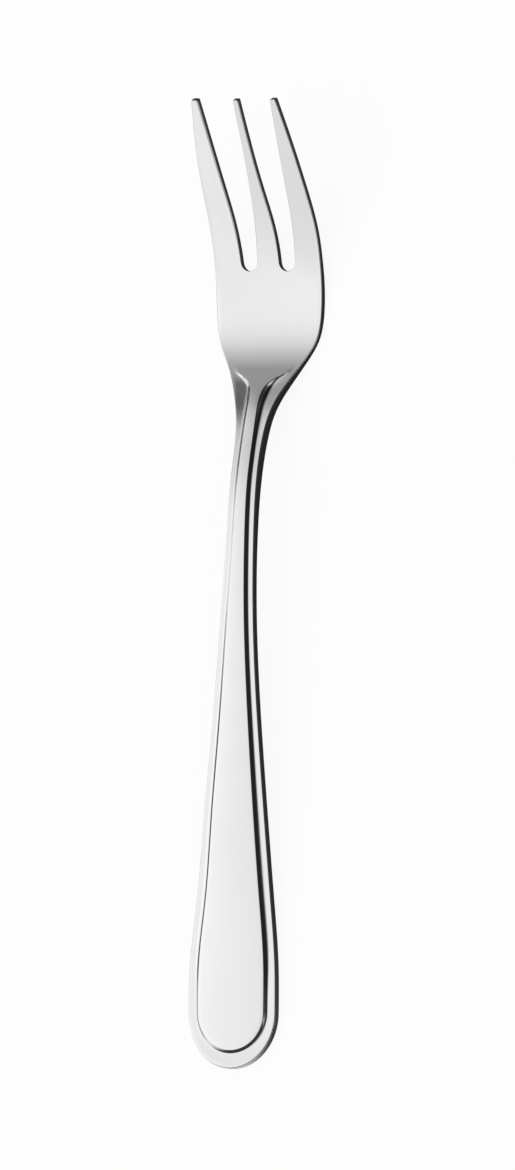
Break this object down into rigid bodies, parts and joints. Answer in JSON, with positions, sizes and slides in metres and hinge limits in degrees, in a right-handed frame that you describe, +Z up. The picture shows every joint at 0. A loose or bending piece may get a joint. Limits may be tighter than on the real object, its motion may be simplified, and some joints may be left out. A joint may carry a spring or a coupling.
{
  "type": "oyster fork",
  "caption": "Slim oyster fork in polished stainless steel: tapered tines, a ribbed neck and a raised panel with a flat border on the handle.",
  "frame": {"origin": "on the table, under the middle of the fork's box, with the fork lying on its back", "axes": "+Y along the fork towards the tips of the tines, +Z up out of the hollow side of the head, +X towards the right tine seen from above"},
  "size_m": [0.0186, 0.1449, 0.0148],
  "materials": {
    "polished_steel": "mirror polished stainless steel with fine hairline scratches from use"
  },
  "bodies": {
    "root": {"handle": "polished_steel", "neck": "polished_steel", "head": "polished_steel", "left_tine": "polished_steel", "middle_tine": "polished_steel", "right_tine": "polished_steel"}
  },
  "joints": []
}
